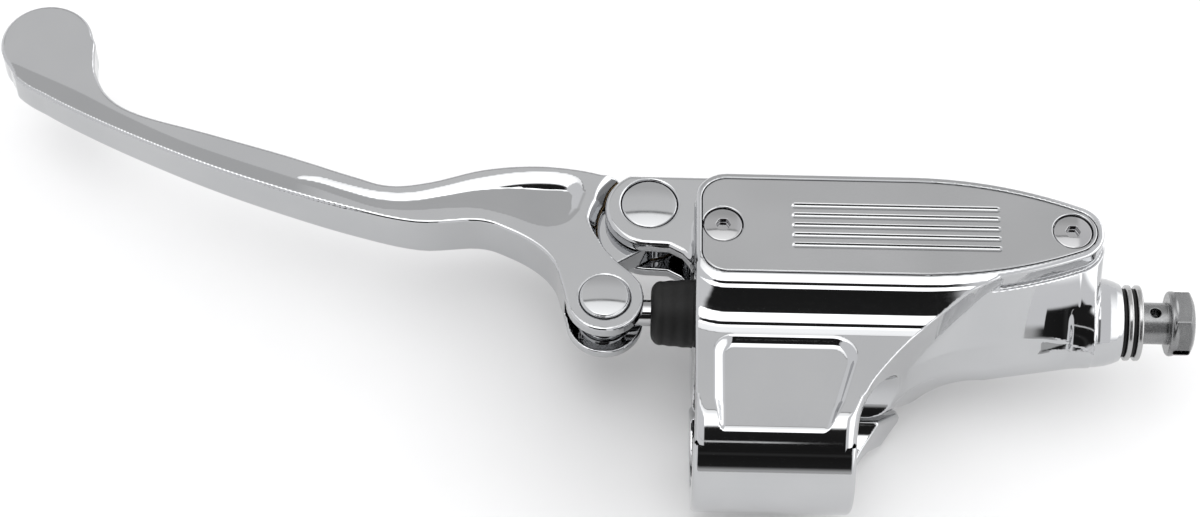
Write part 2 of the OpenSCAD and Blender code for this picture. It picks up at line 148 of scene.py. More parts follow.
# ------------------------------------------------------------------ distance fields

def length(*parts):
    """Length of a vector from its parts."""
    return np.sqrt(sum(p * p for p in parts))


def join(a, b, r):
    """Union of two fields, with a fillet of radius r in the corner between them."""
    u, v = np.maximum(r - a, 0), np.maximum(r - b, 0)
    return np.maximum(r, np.minimum(a, b)) - np.sqrt(u * u + v * v)


def meet(a, b, r):
    """Intersection of two fields, with the edge between them rounded to radius r."""
    u, v = np.maximum(r + a, 0), np.maximum(r + b, 0)
    return np.minimum(-r, np.maximum(a, b)) + np.sqrt(u * u + v * v)


def carve(a, b, r):
    """What is left of a once b is cut away, with the cut's edge rounded to radius r."""
    return meet(a, -b, r)


def slab(t, t0, t1):
    """The field of everything between t0 and t1."""
    return np.abs(t - (t0 + t1) / 2) - (t1 - t0) / 2


def plate(outline, t, t0, t1, r):
    """An outline's field thickened from t0 to t1, with its edges rounded to radius r."""
    return meet(outline, slab(t, t0, t1), r)


def from_bore(y, z):
    """Distance from the bore's axis."""
    return length(y - BORE_Y, z - BORE_Z)


def split_frame(y, z):
    """Height over the clamp's split plane, and the way along it from the bar's axis."""
    return SPLIT_UP[0] * y + SPLIT_UP[1] * z, SPLIT_ALONG[0] * y + SPLIT_ALONG[1] * z


def inside_of(points):
    """The signed distance to a closed outline of straight pieces."""
    p = [tuple(map(float, q)) for q in points]

    def field(u, v):
        shape = np.broadcast(u, v).shape
        best = np.full(shape, 1e9, np.float32)
        inside = np.zeros(shape, bool)
        for (ax, ay), (bx, by) in zip(p, p[1:] + p[:1]):
            ex, ey = bx - ax, by - ay
            size = ex * ex + ey * ey
            if size < 1e-12:
                continue
            wx, wy = u - ax, v - ay
            t = np.clip((wx * ex + wy * ey) / size, 0, 1)
            best = np.minimum(best, (wx - t * ex) ** 2 + (wy - t * ey) ** 2)
            if ay != by:
                inside ^= ((ay > v) != (by > v)) & (wx < wy * (ex / ey))
        d = np.sqrt(best)
        return np.where(inside, -d, d)

    return field


def arc(cx, cy, r, a0, a1, n):
    """Points along an arc from angle a0 to a1, in degrees."""
    turns = [math.radians(a0 + (a1 - a0) * i / n) for i in range(n + 1)]
    return [(cx + r * math.cos(a), cy + r * math.sin(a)) for a in turns]


def spline(points, n=8):
    """A smooth open curve through the points, with n steps between each two."""
    p = np.array([points[0], *points, points[-1]], float)
    out = []
    for a, b, c, d in zip(p[:-3], p[1:-2], p[2:-1], p[3:]):
        for t in np.arange(n) / n:
            out.append(0.5 * (2 * b + (c - a) * t + (2 * a - 5 * b + 4 * c - d) * t ** 2
                              + (3 * b - a - 3 * c + d) * t ** 3))
    return [tuple(q) for q in out] + [tuple(p[-1])]


def smooth_table(points, spread, step=0.05):
    """A height as a function of one length: straight pieces through the points, softened."""
    xs, ys = zip(*points)
    t = np.arange(xs[0] - 4 * spread, xs[-1] + 4 * spread, step)
    reach = int(3 * spread / step)
    bell = np.exp(-0.5 * (np.arange(-reach, reach + 1) * step / spread) ** 2)
    flat = np.interp(t, xs, ys)
    soft = np.convolve(np.pad(flat, reach, "edge"), bell / bell.sum(), "valid")
    return lambda x: np.interp(x, t, soft).astype(np.float32)


# ------------------------------------------------------------------ meshing

def surface(field, lo, hi, h):
    """Vertices, quads and normals of the zero surface of a field, by surface nets."""
    axes = [np.arange(a - 1.7 * h, b + 2.7 * h, h, dtype=np.float32) for a, b in zip(lo, hi)]
    x, y, z = axes[0][:, None, None], axes[1][None, :, None], axes[2][None, None, :]
    shape = tuple(len(a) for a in axes)
    d = np.array(np.broadcast_to(field(x, y, z), shape), np.float32)
    s = d < 0
    count = sum(s[i:shape[0] - 1 + i, j:shape[1] - 1 + j, k:shape[2] - 1 + k].astype(np.uint8)
                for i in (0, 1) for j in (0, 1) for k in (0, 1))
    active = (count > 0) & (count < 8)
    cell = np.argwhere(active)
    index = np.full(active.shape, -1, np.int32)
    index[active] = np.arange(len(cell))
    total, hits = np.zeros((len(cell), 3)), np.zeros(len(cell))
    for axis in range(3):
        others = [a for a in range(3) if a != axis]
        for p in (0, 1):
            for q in (0, 1):
                start = np.zeros(3, int)
                start[others[0]], start[others[1]] = p, q
                end = start.copy()
                end[axis] = 1
                a = d[tuple((cell + start).T)]
                b = d[tuple((cell + end).T)]
                cross = (a < 0) != (b < 0)
                t = np.where(cross, a / np.where(cross, a - b, 1), 0)
                total[cross] += start + (t[:, None] * (end - start))[cross]
                hits += cross
    at = np.array([a[0] for a in axes]) + (cell + total / hits[:, None]) * h
    quads = []
    for axis in range(3):
        b_axis, c_axis = (axis + 1) % 3, (axis + 2) % 3
        lead = [slice(1, n - 1) for n in shape]
        lead[axis] = slice(0, shape[axis] - 1)
        tail = list(lead)
        tail[axis] = slice(1, shape[axis])
        s0, s1 = s[tuple(lead)], s[tuple(tail)]
        for sign in (True, False):
            edge = np.argwhere((s0 != s1) & (s0 == sign))
            for other in (b_axis, c_axis):
                edge[:, other] += 1
            step_b, step_c = np.zeros(3, int), np.zeros(3, int)
            step_b[b_axis], step_c[c_axis] = 1, 1
            ring = [edge, edge - step_b, edge - step_b - step_c, edge - step_c]
            if not sign:
                ring = ring[::-1]
            quads.append(np.stack([index[tuple(r.T)] for r in ring], 1))
    quads = np.concatenate(quads)

    def value(points):
        p = points.astype(np.float32)
        return field(p[:, 0], p[:, 1], p[:, 2]).astype(float)

    def slope(points, reach):
        corners = np.array([(1, -1, -1), (-1, -1, 1), (-1, 1, -1), (1, 1, 1)])
        return sum(c * value(points + c * reach)[:, None] for c in corners) / (4 * reach)

    for _ in range(2):
        g = slope(at, 0.12 * h)
        move = value(at)[:, None] * g / np.maximum((g * g).sum(1), 0.05)[:, None]
        size = np.maximum(np.linalg.norm(move, axis=1), 1e-9)[:, None]
        at = at - move * np.minimum(1, 0.6 * h / size)
    normal = slope(at, 0.35 * h)
    normal /= np.maximum(np.linalg.norm(normal, axis=1), 1e-9)[:, None]
    return at, quads, normal


def build(name, field, lo, hi, voxel, material, body, slot, nodes):
    """One piece: meshes the field, gives it a material, and puts it on its body."""
    at, quads, normal = surface(field, lo, hi, voxel)
    return add_piece(name, at, quads, normal, material, body, nodes)


def add_piece(name, at, quads, normal, material, body, nodes):
    """Puts a mesh of quads, in millimetres, in the scene as one piece."""
    mesh = bpy.data.meshes.new(name)
    mesh.vertices.add(len(at))
    mesh.vertices.foreach_set("co", (at * MM).astype(np.float32).ravel())
    mesh.loops.add(4 * len(quads))
    mesh.loops.foreach_set("vertex_index", quads.astype(np.int32).ravel())
    mesh.polygons.add(len(quads))
    mesh.polygons.foreach_set("loop_start", np.arange(0, 4 * len(quads), 4, dtype=np.int32))
    mesh.update(calc_edges=True)
    mesh.validate()
    mesh.polygons.foreach_set("use_smooth", np.ones(len(mesh.polygons), bool))
    mesh.normals_split_custom_set_from_vertices(normal)
    mesh.materials.append(material)
    piece = bpy.data.objects.new(name, mesh)
    bpy.context.scene.collection.objects.link(piece)
    if body:
        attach(piece, body)
    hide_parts(*nodes)
    return piece


# ------------------------------------------------------------------ materials

def new_material(name, colour, metallic, roughness):
    material = bpy.data.materials.new(name)
    material.use_nodes = True
    shader = material.node_tree.nodes["Principled BSDF"]
    shader.inputs["Base Color"].default_value = (*colour, 1)
    shader.inputs["Metallic"].default_value = metallic
    shader.inputs["Roughness"].default_value = roughness
    return material, material.node_tree, shader


def noise(tree, scale, detail=3.0, stretch=(1, 1, 1)):
    """Noise in object space, in cells per metre, drawn out by stretch."""
    where = tree.nodes.new("ShaderNodeTexCoord")
    place = tree.nodes.new("ShaderNodeMapping")
    place.inputs["Scale"].default_value = stretch
    texture = tree.nodes.new("ShaderNodeTexNoise")
    texture.inputs["Scale"].default_value = scale
    texture.inputs["Detail"].default_value = detail
    tree.links.new(where.outputs["Object"], place.inputs["Vector"])
    tree.links.new(place.outputs["Vector"], texture.inputs["Vector"])
    return texture.outputs["Fac"]


def spread(tree, source, low, high):
    """A ramp from colour low to colour high, or from number to number, over the noise."""
    ramp = tree.nodes.new("ShaderNodeMapRange" if isinstance(low, float) else "ShaderNodeValToRGB")
    if isinstance(low, float):
        ramp.inputs["From Min"].default_value, ramp.inputs["From Max"].default_value = 0.3, 0.7
        ramp.inputs["To Min"].default_value, ramp.inputs["To Max"].default_value = low, high
        tree.links.new(source, ramp.inputs["Value"])
        return ramp.outputs["Result"]
    ramp.color_ramp.elements[0].position, ramp.color_ramp.elements[1].position = 0.3, 0.7
    ramp.color_ramp.elements[0].color, ramp.color_ramp.elements[1].color = (*low, 1), (*high, 1)
    tree.links.new(source, ramp.inputs["Fac"])
    return ramp.outputs["Color"]


def bump(tree, shader, source, strength, distance):
    node = tree.nodes.new("ShaderNodeBump")
    node.inputs["Strength"].default_value = strength
    node.inputs["Distance"].default_value = distance
    tree.links.new(source, node.inputs["Height"])
    tree.links.new(node.outputs["Normal"], shader.inputs["Normal"])


def metal(name, low, high, rough_low, rough_high, scale, stretch=(1, 1, 1),
          bump_strength=0.0, bump_distance=0.00002, wave=60.0):
    """A metal whose colour and roughness wander a little, with a faint surface texture."""
    material, tree, shader = new_material(name, high, 1.0, rough_high)
    grain = noise(tree, scale, 4.0, stretch)
    cloud = noise(tree, wave, 2.0)
    tree.links.new(spread(tree, cloud, low, high), shader.inputs["Base Color"])
    tree.links.new(spread(tree, grain, rough_low, rough_high), shader.inputs["Roughness"])
    if bump_strength:
        bump(tree, shader, grain, bump_strength, bump_distance)
    return material


CHROME = metal("chrome_polish", (0.468, 0.474, 0.484), (0.491, 0.496, 0.504), 0.035, 0.075, 900,
               bump_strength=0.012, bump_distance=0.00001)
SATIN = metal("cover_brushed", (0.400, 0.404, 0.410), (0.440, 0.444, 0.451), 0.12, 0.17, 4200,
              (0.03, 1, 1), 0.03, 0.00001, 40)
SCREW = metal("screw_steel", (0.367, 0.367, 0.374), (0.434, 0.434, 0.440), 0.05, 0.09, 2600,
              bump_strength=0.05)
BOLT = metal("bolt_satin_steel", (0.208, 0.210, 0.213), (0.257, 0.259, 0.261), 0.20, 0.34, 2200,
             bump_strength=0.10, wave=260)
WASHER = metal("washer_steel", (0.400, 0.400, 0.400), (0.468, 0.468, 0.468), 0.12, 0.26, 3000,
               bump_strength=0.06)
SPRING = metal("spring_steel", (0.267, 0.267, 0.274), (0.334, 0.334, 0.340), 0.22, 0.36, 2400,
               bump_strength=0.05)
ALLOY = metal("piston_anodised", (0.367, 0.314, 0.200), (0.421, 0.367, 0.247), 0.25, 0.36, 2400,
              bump_strength=0.05)
BRONZE = metal("bronze_bearing", (0.367, 0.253, 0.134), (0.427, 0.300, 0.166), 0.24, 0.38, 2200,
               bump_strength=0.08)


def rubber_material(name, low, high):
    material, tree, shader = new_material(name, high, 0.0, 0.5)
    shader.inputs["Specular IOR Level"].default_value = 0.3
    fine = noise(tree, 5200, 3.0)
    cloud = noise(tree, 180, 3.0)
    tree.links.new(spread(tree, cloud, low, high), shader.inputs["Base Color"])
    tree.links.new(spread(tree, fine, 0.50, 0.68), shader.inputs["Roughness"])
    bump(tree, shader, fine, 0.25, 0.00003)
    return material


RUBBER = rubber_material("rubber_boot", (0.005, 0.005, 0.005), (0.009, 0.009, 0.009))

SLOT_LOOK = {"chrome": CHROME, "cover_satin": SATIN, "screw_steel": SCREW, "washer_steel": WASHER,
             "spring_steel": SPRING, "piston_alloy": ALLOY, "bronze": BRONZE, "rubber": RUBBER}


# ------------------------------------------------------------------ reservoir cover outline

def cover_line(x, y):
    """Signed distance to the cover's outline: square end with round corners, ogive, round tip."""
    v = np.abs(y - COVER_Y)
    qx, qy = COVER_X0 + COVER_CORNER - x, v - (COVER_HALF - COVER_CORNER)
    end = (length(np.maximum(qx, 0), np.maximum(qy, 0)) + np.minimum(np.maximum(qx, qy), 0)
           - COVER_CORNER)
    run, rise = TIP_X - OGIVE_X, OGIVE_R - COVER_HALF
    ax, av = x - OGIVE_X, v + rise
    side = np.where(ax > 0, length(ax, av) - OGIVE_R, v - COVER_HALF)
    tip = length(x - TIP_X, v) - TIP_R
    return np.maximum(end, np.where(run * av - rise * ax < 0, tip, side))


def half_width(x, grow):
    """Half the width, at x, of the cover's outline grown by grow."""
    corner = COVER_CORNER + grow
    cut = np.clip(COVER_X0 + COVER_CORNER - x, 0, corner)
    square = COVER_HALF - COVER_CORNER + np.sqrt(np.maximum(corner ** 2 - cut ** 2, 0))
    along = np.maximum(x - OGIVE_X, 0)
    rise = OGIVE_R - COVER_HALF
    ogive = np.sqrt(np.maximum((OGIVE_R + grow) ** 2 - along ** 2, 0)) - rise
    past = np.clip(x - TIP_X, 0, TIP_R + grow)
    tip = np.sqrt(np.maximum((TIP_R + grow) ** 2 - past ** 2, 0))
    turn_x = TIP_X + TIP_R * (TIP_X - OGIVE_X) / (OGIVE_R - TIP_R)
    return np.minimum(square, np.where(x > turn_x, tip, ogive))


# ------------------------------------------------------------------ the body casting

def profile(steps, height):
    """Points of a falling profile from (width, slope in degrees) steps."""
    points = [(-1.0, height), (0.2, height)]
    for width, slope in steps:
        g, z = points[-1]
        points.append((g + width, z - width * math.tan(math.radians(slope))))
    return points


# The top of the reservoir's rim, and the steps in front of it down to the deck, against the
# distance from the cover's edge.
CROWN = smooth_table(profile([(0.6, 7.0), (0.7, 13.0), (0.9, 19.0)], RIM_Z), 0.12)
STEPS = profile([(0.6, 6.0), (0.8, 11.5), (0.72, 17.0), (0.75, 33.0), (0.56, 15.0), (1.2, 36.0),
                 (1.2, 34.5), (1.2, 32.0), (1.12, 31.0), (1.7, 15.0), (0.94, 32.0), (1.6, 6.5)],
                RIM_Z)
COVE = smooth_table(STEPS + [(40, STEPS[-1][1])], 0.13)
FLANK = spline([(17.3, -22), (17.3, -8), (19.4, 0.5), (24.3, 8), (31, 15.5), (40, 22.5),
                (44.5, 25.1), (49.5, 27.5)], 6)
BARREL_R = 8.2
KEEL_R = 7.0
KEEL = (BORE_Y - 3.3, BORE_Z - 7.2)
KEEL_X1, BARREL_X1, THROAT_X, THROAT_R = 48.0, 60.0, 71.0, 9.95
NECK = [(66.0, 9.7), (70.0, 10.15), (72.5, 10.1), (74.5, 9.8), (76.2, 9.3), (NECK_X1, 8.6)]
SHOULDER_OUT = 0.8  # how far the casting's shoulder stands out past the rim
SHOULDER_X1 = TIP_X + TIP_R + RIM_W + SHOULDER_OUT


def tangent_wall(y, z, ay, az, r, side):
    """Distance past the line from the point (ay, az) that touches a circle of radius r."""
    span = np.maximum(length(ay, az), r + 0.01)
    touch = np.arctan2(az, ay) - side * np.arccos(r / span)
    c, s = np.cos(touch), np.sin(touch)
    return c * y + s * z - r, side * (-s * y + c * z)


def foot(x, y, z, cy, cz, r):
    """The section at x: the shoulder's width drawn down on to a circle."""
    half = half_width(x, RIM_W + SHOULDER_OUT)
    y, z = y - cy, z - cz
    top = SHOULDER_Z - cz
    left, left_up = tangent_wall(y, z, COVER_Y - half - cy, top, r, -1)
    right, right_up = tangent_wall(y, z, COVER_Y + half - cy, top, r, 1)
    below = np.minimum(-left_up, -right_up)
    sides = np.maximum(np.maximum(left, right), np.maximum(z - top, below))
    return np.minimum(sides, length(y, z) - r)


def along_disc(x, x0, start, x1, stop):
    """A disc (y, z, radius) that runs from start at x0 to stop at x1, then shrinks to the tip."""
    t = np.clip((x - x0) / (x1 - x0), 0, 1)
    past = np.clip((x - x1) / (SHOULDER_X1 - x1), 0, 0.995)
    tip = (COVER_Y, SHOULDER_Z, 0.0)
    return [a + (b - a) * t + (c - b) * past for a, b, c in zip(start, stop, tip)]


def casting(x, y, z):
    """The reservoir's foot drawn down on to the barrel, the keel and the throat."""
    throat = (BORE_Y, BORE_Z, THROAT_R)
    barrel = along_disc(x, BARREL_X1, (BORE_Y, BORE_Z, BARREL_R), THROAT_X, throat)
    keel = along_disc(x, KEEL_X1, (*KEEL, KEEL_R), THROAT_X, throat)
    both = np.minimum(foot(x, y, z, *barrel), foot(x, y, z, *keel))
    both = np.minimum(both, belly(y, z, barrel, keel))
    return meet(both, x - SHOULDER_X1, 0.5)


def belly(y, z, barrel, keel):
    """The convex back and underside between the keel and the barrel."""
    dy, dz = barrel[0] - keel[0], barrel[1] - keel[1]
    size = np.maximum(dy * dy + dz * dz, 1e-3)
    t = np.clip(((y - keel[0]) * dy + (z - keel[1]) * dz) / size, 0, 1)
    r = keel[2] + (barrel[2] - keel[2]) * t
    return length(y - keel[0] - t * dy, z - keel[1] - t * dz) - r


def upper_shell(x, y, z):
    """The clamp's upper half and the block between it and the casting."""
    over = split_frame(y, z)[0]
    ring = meet(length(y, z) - CLAMP_R + 0.04 * np.clip(-over, 0, 2), -2 - over, 0.08)
    ring = np.maximum(ring, np.where(y > 0, 0.15 - over, -9))
    lift_y, lift_z = 0.5 * SPLIT_GAP * SPLIT_UP[0], 0.5 * SPLIT_GAP * SPLIT_UP[1]
    block = inside_of([
        (lift_y, lift_z), (-2, 10), (-2, DECK_Z + 2), (12, RIM_Z), (30, RIM_Z), (36, 2),
        (28, -10.6),
        (LUG_END * SPLIT_ALONG[0] + lift_y, LUG_END * SPLIT_ALONG[1] + lift_z)])(y, z)
    section = np.minimum(ring, block)
    plan = flank_field(x, y)
    under = inside_of([(-40, -25), (26, -25), (30.5, -18.4), (36, -15), (42, -12.6),
                       (50, -11.6), (50, 40), (-40, 40)])(x, z)
    edge = np.interp(y, [12, 24], [2.8, 0.9]).astype(np.float32)
    shell = meet(meet(section, under, 2.0), plan, edge)
    steps = (z - COVE(cover_line(x, y))) * 0.85
    shell = meet(shell, np.minimum(steps, COVER_Y - y), 0.25)
    pocket = meet(pocket_plan(x, y), DECK_Z - 1.5 - z, 1.5)
    edge = np.interp(y, [-6, -2], [0.25, 1.3]).astype(np.float32)
    return carve(shell, pocket, edge)


flank_field = inside_of([(BODY_X0, -40), *FLANK, (49.5, 45), (BODY_X0, 45)])
pocket_plan = inside_of([(10.5, -12), (-12.7, -12)] + arc(-9.2, 9.7, 3.5, 180, 90, 10)
                        + arc(12.2, 9, 4.2, 90, -15, 12))


def ear_plan(x, y):
    """The pivot ears' plan: a disc about the pin, flowing into the reservoir's end."""
    u, v = x - PIVOT[0], y - PIVOT[1]
    disc = length(u, v + 1.1) - EAR_R
    arm = inside_of([(-4, 10), (15, 10), (32, -1), (38, -10), (BODY_X0 + 1 - PIVOT[0], -16),
                     (BODY_X0 - PIVOT[0], -16), (7.5, -13), (4.5, -11.3), (0, -1.1 - EAR_R)])(u, v)
    return np.maximum(np.minimum(disc, arm), v - 7.8)


def cavities(x, y, z):
    """Cylinder bore, reservoir, ports and screw holes, which the inner pieces sit in."""
    radius = from_bore(y, z)
    bore = meet(radius - BORE_R, slab(x, BODY_X0 - 5, 62), 0.1)
    mouth = meet(radius - 8.0, slab(x, BODY_X0 - 5, BODY_X0 + 3), 0.1)
    groove = meet(radius - BORE_R - 0.9, slab(x, piston_lo[0] - 2.3, piston_lo[0] - 1.2), 0.1)
    outlet = meet(radius - OUTLET_R, slab(x, NECK[0][0], NECK_X1 + 5), 0.1)
    line = cover_line(x, y)
    seat = meet(line - 0.12, slab(z, RIM_Z - COVER_T - 1.3, RIM_Z + 9), 0.1)
    well = meet(meet(line + 1.4, slab(z, -1.5, RIM_Z), 0.8), BORE_Y + BORE_R + 3.6 - y, 0.8)
    shelf = meet(line + 1.4, slab(z, 12, RIM_Z), 0.8)
    room = np.minimum(well, shelf)
    for sx in COVER_SCREW_X:
        post = length(x - sx, y - COVER_Y)
        room = np.maximum(room, 4.9 - post)
        seat = np.minimum(seat, meet(post - 2.1, slab(z, RIM_Z - 16, RIM_Z), 0.1))
    for part in (mouth, groove, outlet, seat, room):
        bore = np.minimum(bore, part)
    return bore


def body_field(x, y, z):
    """The whole casting: barrel, reservoir, neck, upper clamp half and pivot ears."""
    line = cover_line(x, y)
    tower = meet(meet(line - RIM_W, z - CROWN(line), 0.4), EAR_Z0 - z, 1.0)
    radius = from_bore(y, z)
    neck = radius - np.interp(x, *zip(*NECK)).astype(np.float32)
    neck = meet(neck, slab(x, NECK[0][0], NECK_X1), 0.4)
    main = join(casting(x, y, z), neck, 1.0)
    shell = upper_shell(x, y, z)
    blend = 0.3 + 6.0 * np.clip((13 - z) / 10, 0, 1)
    main = np.minimum(join(main, shell, blend), tower)
    main = meet(main, BODY_X0 - x, 1.0)
    main = join(main, plate(ear_plan(x, y), z, EAR_Z0, EAR_Z1, 1.1), 1.2)
    main = carve(main, length(y, z) - BAR_R, 0.3)
    gap = meet(slab(z, BORE_Z - GAP_HALF, BORE_Z + GAP_HALF), x - BODY_X0, 0.2)
    main = carve(main, np.maximum(gap, 20 - y), 0.5)
    pin = length(x - PIVOT[0], y - PIVOT[1])
    main = carve(main, pin - PIN_R - 0.03, 0.2)
    main = carve(main, np.maximum(pin - PIN_HEAD_R - 0.2, EAR_Z1 - PIN_RECESS - z), 0.45)
    return carve(main, cavities(x, y, z), 0.25)


# ------------------------------------------------------------------ the clamp's lower half

def clamp_field(x, y, z):
    """A half ring round the bar, with a lug that the two screws go through."""
    over, along = split_frame(y, z)
    ring = length(y, z) - CLAMP_R + 0.04 * np.clip(over, 0, 2)
    lug = np.maximum(slab(over, -9.5, 2.5), slab(along, 0, LUG_END))
    both = join(ring, lug, 2.0)
    ceiling = np.where(along < 0, 2, -0.5 * SPLIT_GAP)
    both = meet(both, over - ceiling, 0.1)
    front = [p for p in FLANK if p[0] < 30]
    plan = inside_of([(BODY_X0, -30), *front, (29.5, 14), (29.5, 40), (BODY_X0, 40)])(x, y)
    both = meet(both, plan, 1.2)
    both = carve(both, length(y, z) - BAR_R, 0.3)
    for sx in CLAMP_SCREW_X:
        radius = length(x - sx, along - CLAMP_SCREW_ALONG)
        both = carve(both, radius - 3.3, 0.2)
        both = carve(both, np.maximum(radius - 5.15, over - CLAMP_WASHER_TOP), 0.4)
    return both


# ------------------------------------------------------------------ the lever

# Its outlines are measured from the pivot.
BLADE_BACK = spline([(-131.4, 42.4), (-130, 35.9), (-126.3, 28.3), (-118.8, 23.2), (-102.7, 18.3),
                     (-84.5, 12.6), (-68.4, 6.8), (-59.4, 4), (-50, 5.2), (-38, 8.9), (-26, 10.2),
                     (-15, 9.2), (-6.5, 6.8)], 6)
BLADE_INNER = spline([(-9.5, -12.4), (-7.5, -15), (-4, -18.2), (-1.6, -21.4)], 5)
BLADE_FRONT = spline([(-18.3, -26), (-19.6, -21), (-21.4, -16), (-25.5, -11.4), (-32, -7.5),
                      (-39, -5.3), (-52.5, -6.1), (-67.4, -3), (-84.5, 2.2), (-102.7, 8.8),
                      (-120.8, 16.7), (-134.5, 23.5), (-142.6, 28.3), (-147.2, 32.4)], 6)
HINGE = (TRUNNION[0] - PIVOT[0], TRUNNION[1] - PIVOT[1])
KNUCKLE_R = 8.7
blade_line = inside_of(BLADE_BACK + [(-8, 0)] + BLADE_INNER
                       + arc(*HINGE, KNUCKLE_R, 15, -170, 20) + BLADE_FRONT)
# The dished teardrop in the top face, and the step where the blade's hollow front strip begins.
DISH_BACK = spline([(-80.9, 5.3), (-79.6, 6.3), (-74.5, 5.9), (-69.4, 4.3), (-61.9, 2.3),
                    (-54.5, 2.1), (-47.1, 4), (-39.8, 6.3), (-30, 8.3), (-21, 8.5),
                    (-16, 6.9), (-14.1, 3.2)], 5)
DISH_FRONT = spline([(-15.6, -1.8), (-18.3, -5.1), (-22.2, -6.5), (-26.1, -6), (-32, -3.7),
                     (-39.5, -1.9), (-46.9, -2.2), (-54.2, -2.9), (-61.6, -2.4), (-69.2, 0.2),
                     (-76.7, 3.2), (-80.4, 4.4)], 5)
dish_line = inside_of(DISH_BACK + DISH_FRONT)
FRONT_LINE = sorted(p for p in BLADE_FRONT if p[1] > -8 and p[0] < -30)
CREASE = spline([(-158, 41), (-148.9, 36.4), (-134, 29.3), (-121.1, 22), (-108.2, 15.6),
                 (-95.8, 10.8), (-80.8, 5.5)], 5)


def smooth_step(t):
    """From 0 to 1, level at both ends."""
    t = np.clip(t, 0, 1)
    return t * t * (3 - 2 * t)


def soft_min(a, b, r):
    """The smaller of two heights, blended where they are within about r."""
    return a - r * np.logaddexp(0, (a - b) / r)


def lever_top(u, v):
    """Height of the blade's top face: a sunk back, a hollow front strip, and a dished teardrop."""
    crease = np.interp(u, *zip(*CREASE)).astype(np.float32)
    front = np.interp(u, *zip(*FRONT_LINE)).astype(np.float32)
    share = np.clip((crease - v) / np.maximum(crease - front, 1), 0, 1)
    sunk = 0.62 * smooth_step((-56 - u) / 40) * (1 - share)
    edge = np.maximum(-dish_line(u, v), 0)
    low = np.interp(u, *zip(*sorted(DISH_FRONT))).astype(np.float32)
    wall = 0.10 * edge + 0.085 * edge * edge
    floor = 0.10 + 0.145 * np.maximum(v - low, 0)
    dish = np.maximum(soft_min(wall, floor, 0.03), 0) * smooth_step(edge / 0.35)
    return LEVER_Z1 - sunk - dish


def lever_field(x, y, z):
    """The blade, its round tip, the pivot knuckle and the fork round the trunnion."""
    u, v = x - PIVOT[0], y - PIVOT[1]
    tip = np.minimum(length(u + 141.8, v - 43) - 10.7, length(u + 141.0, v - 39.7) - 9.62)
    plan = join(blade_line(u, v), tip, 3.0)
    knuckle = np.minimum(length(u, v) - KNUCKLE_R, inside_of(
        [(-4, 7.7), (-14, 8.5), (-16, -14), (-10.5, -16), (1, -8.6)])(u, v))
    plan = np.minimum(plan, knuckle)
    above = z - lever_top(u, v)
    # a fine chamfer along the grip's edge, a rolled edge nearer the pivot
    sharp = np.maximum(np.maximum(plan, above), (plan + above) * 0.7071 + 0.40)
    share = np.clip((-60 - u) / 10, 0, 1)
    blade = share * sharp + (1 - share) * meet(plan, above, 0.6)
    taper_x, taper_slope = -50, 0.038
    base = LEVER_Z0 + taper_slope * np.maximum(taper_x - u, 0)
    blade = meet(blade, base - z, 1.4)
    relief = np.minimum(length(u, v) - EAR_R - 0.6, length(u - 0.3, v + 5.1) - 12.4)
    relief = np.minimum(relief, inside_of([(-3, 25), (18, 25), (18, -20), (-3.7, -5.1)])(u, v))
    relief = relief - np.clip(z - LEVER_Z1 + 2.0, 0, 3) * np.clip(v / 6 + 1.6, 0, 1)
    off = np.abs(z - BORE_Z)
    blade = carve(blade, meet(relief, 3.0 - off, 1.2), 0.3)
    fork = np.minimum(length(u - HINGE[0], v - HINGE[1]) - 9.0,
                      np.maximum(slab(u - HINGE[0], -10.3, 19.7), slab(v - HINGE[1], -15, 0)))
    blade = carve(blade, meet(fork, off - 3.2, 0.3), 0.4)
    blade = carve(blade, length(u - HINGE[0], v - HINGE[1]) - 5.72, 0.4)
    return carve(blade, length(u, v) - 6.2, 0.2)


# ------------------------------------------------------------------ cover, pins, hardware

FLUTES = 5
FLUTE_PITCH, FLUTE_MID, FLUTE_REACH, FLUTE_R, FLUTE_UP = 2.6, 26.4, 22.4, 0.75, 0.35


def cover_field(x, y, z):
    """The flat cover, with two screw recesses and straight flutes along the middle."""
    plain = plate(cover_line(x, y) + 0.02, z, RIM_Z - COVER_T, RIM_Z, 0.3)
    for sx in COVER_SCREW_X:
        post = length(x - sx, y - COVER_Y)
        plain = carve(plain, post - 2.2, 0.1)
        plain = carve(plain, np.maximum(post - COVER_SCREW_R, RIM_Z - 1.95 - z), 0.25)
    for i in range(FLUTES):
        middle = COVER_Y + FLUTE_PITCH * (i - (FLUTES - 1) / 2)
        bar = length(np.maximum(np.abs(x - FLUTE_MID) - FLUTE_REACH, 0), y - middle)
        groove = length(bar, z - RIM_Z - FLUTE_UP) - FLUTE_R
        plain = carve(plain, groove, 0.12)
    return plain


def pivot_pin_field(x, y, z):
    """A pin with a slightly domed head, and a groove for its clip near the foot."""
    radius = length(x - PIVOT[0], y - PIVOT[1])
    top, dome = pin_hi[2], 0.42
    shank = meet(radius - PIN_R, slab(z, pin_lo[2], top - 1), 0.4)
    head = meet(meet(radius - PIN_HEAD_R, EAR_Z1 - PIN_RECESS + 0.01 - z, 0.2),
                z - top + dome * (radius / PIN_HEAD_R) ** 2, 0.3)
    groove = np.maximum(slab(z, pin_lo[2] + 0.3, pin_lo[2] + 1.02), 4.15 - radius)
    return carve(np.minimum(shank, head), groove, 0.1)


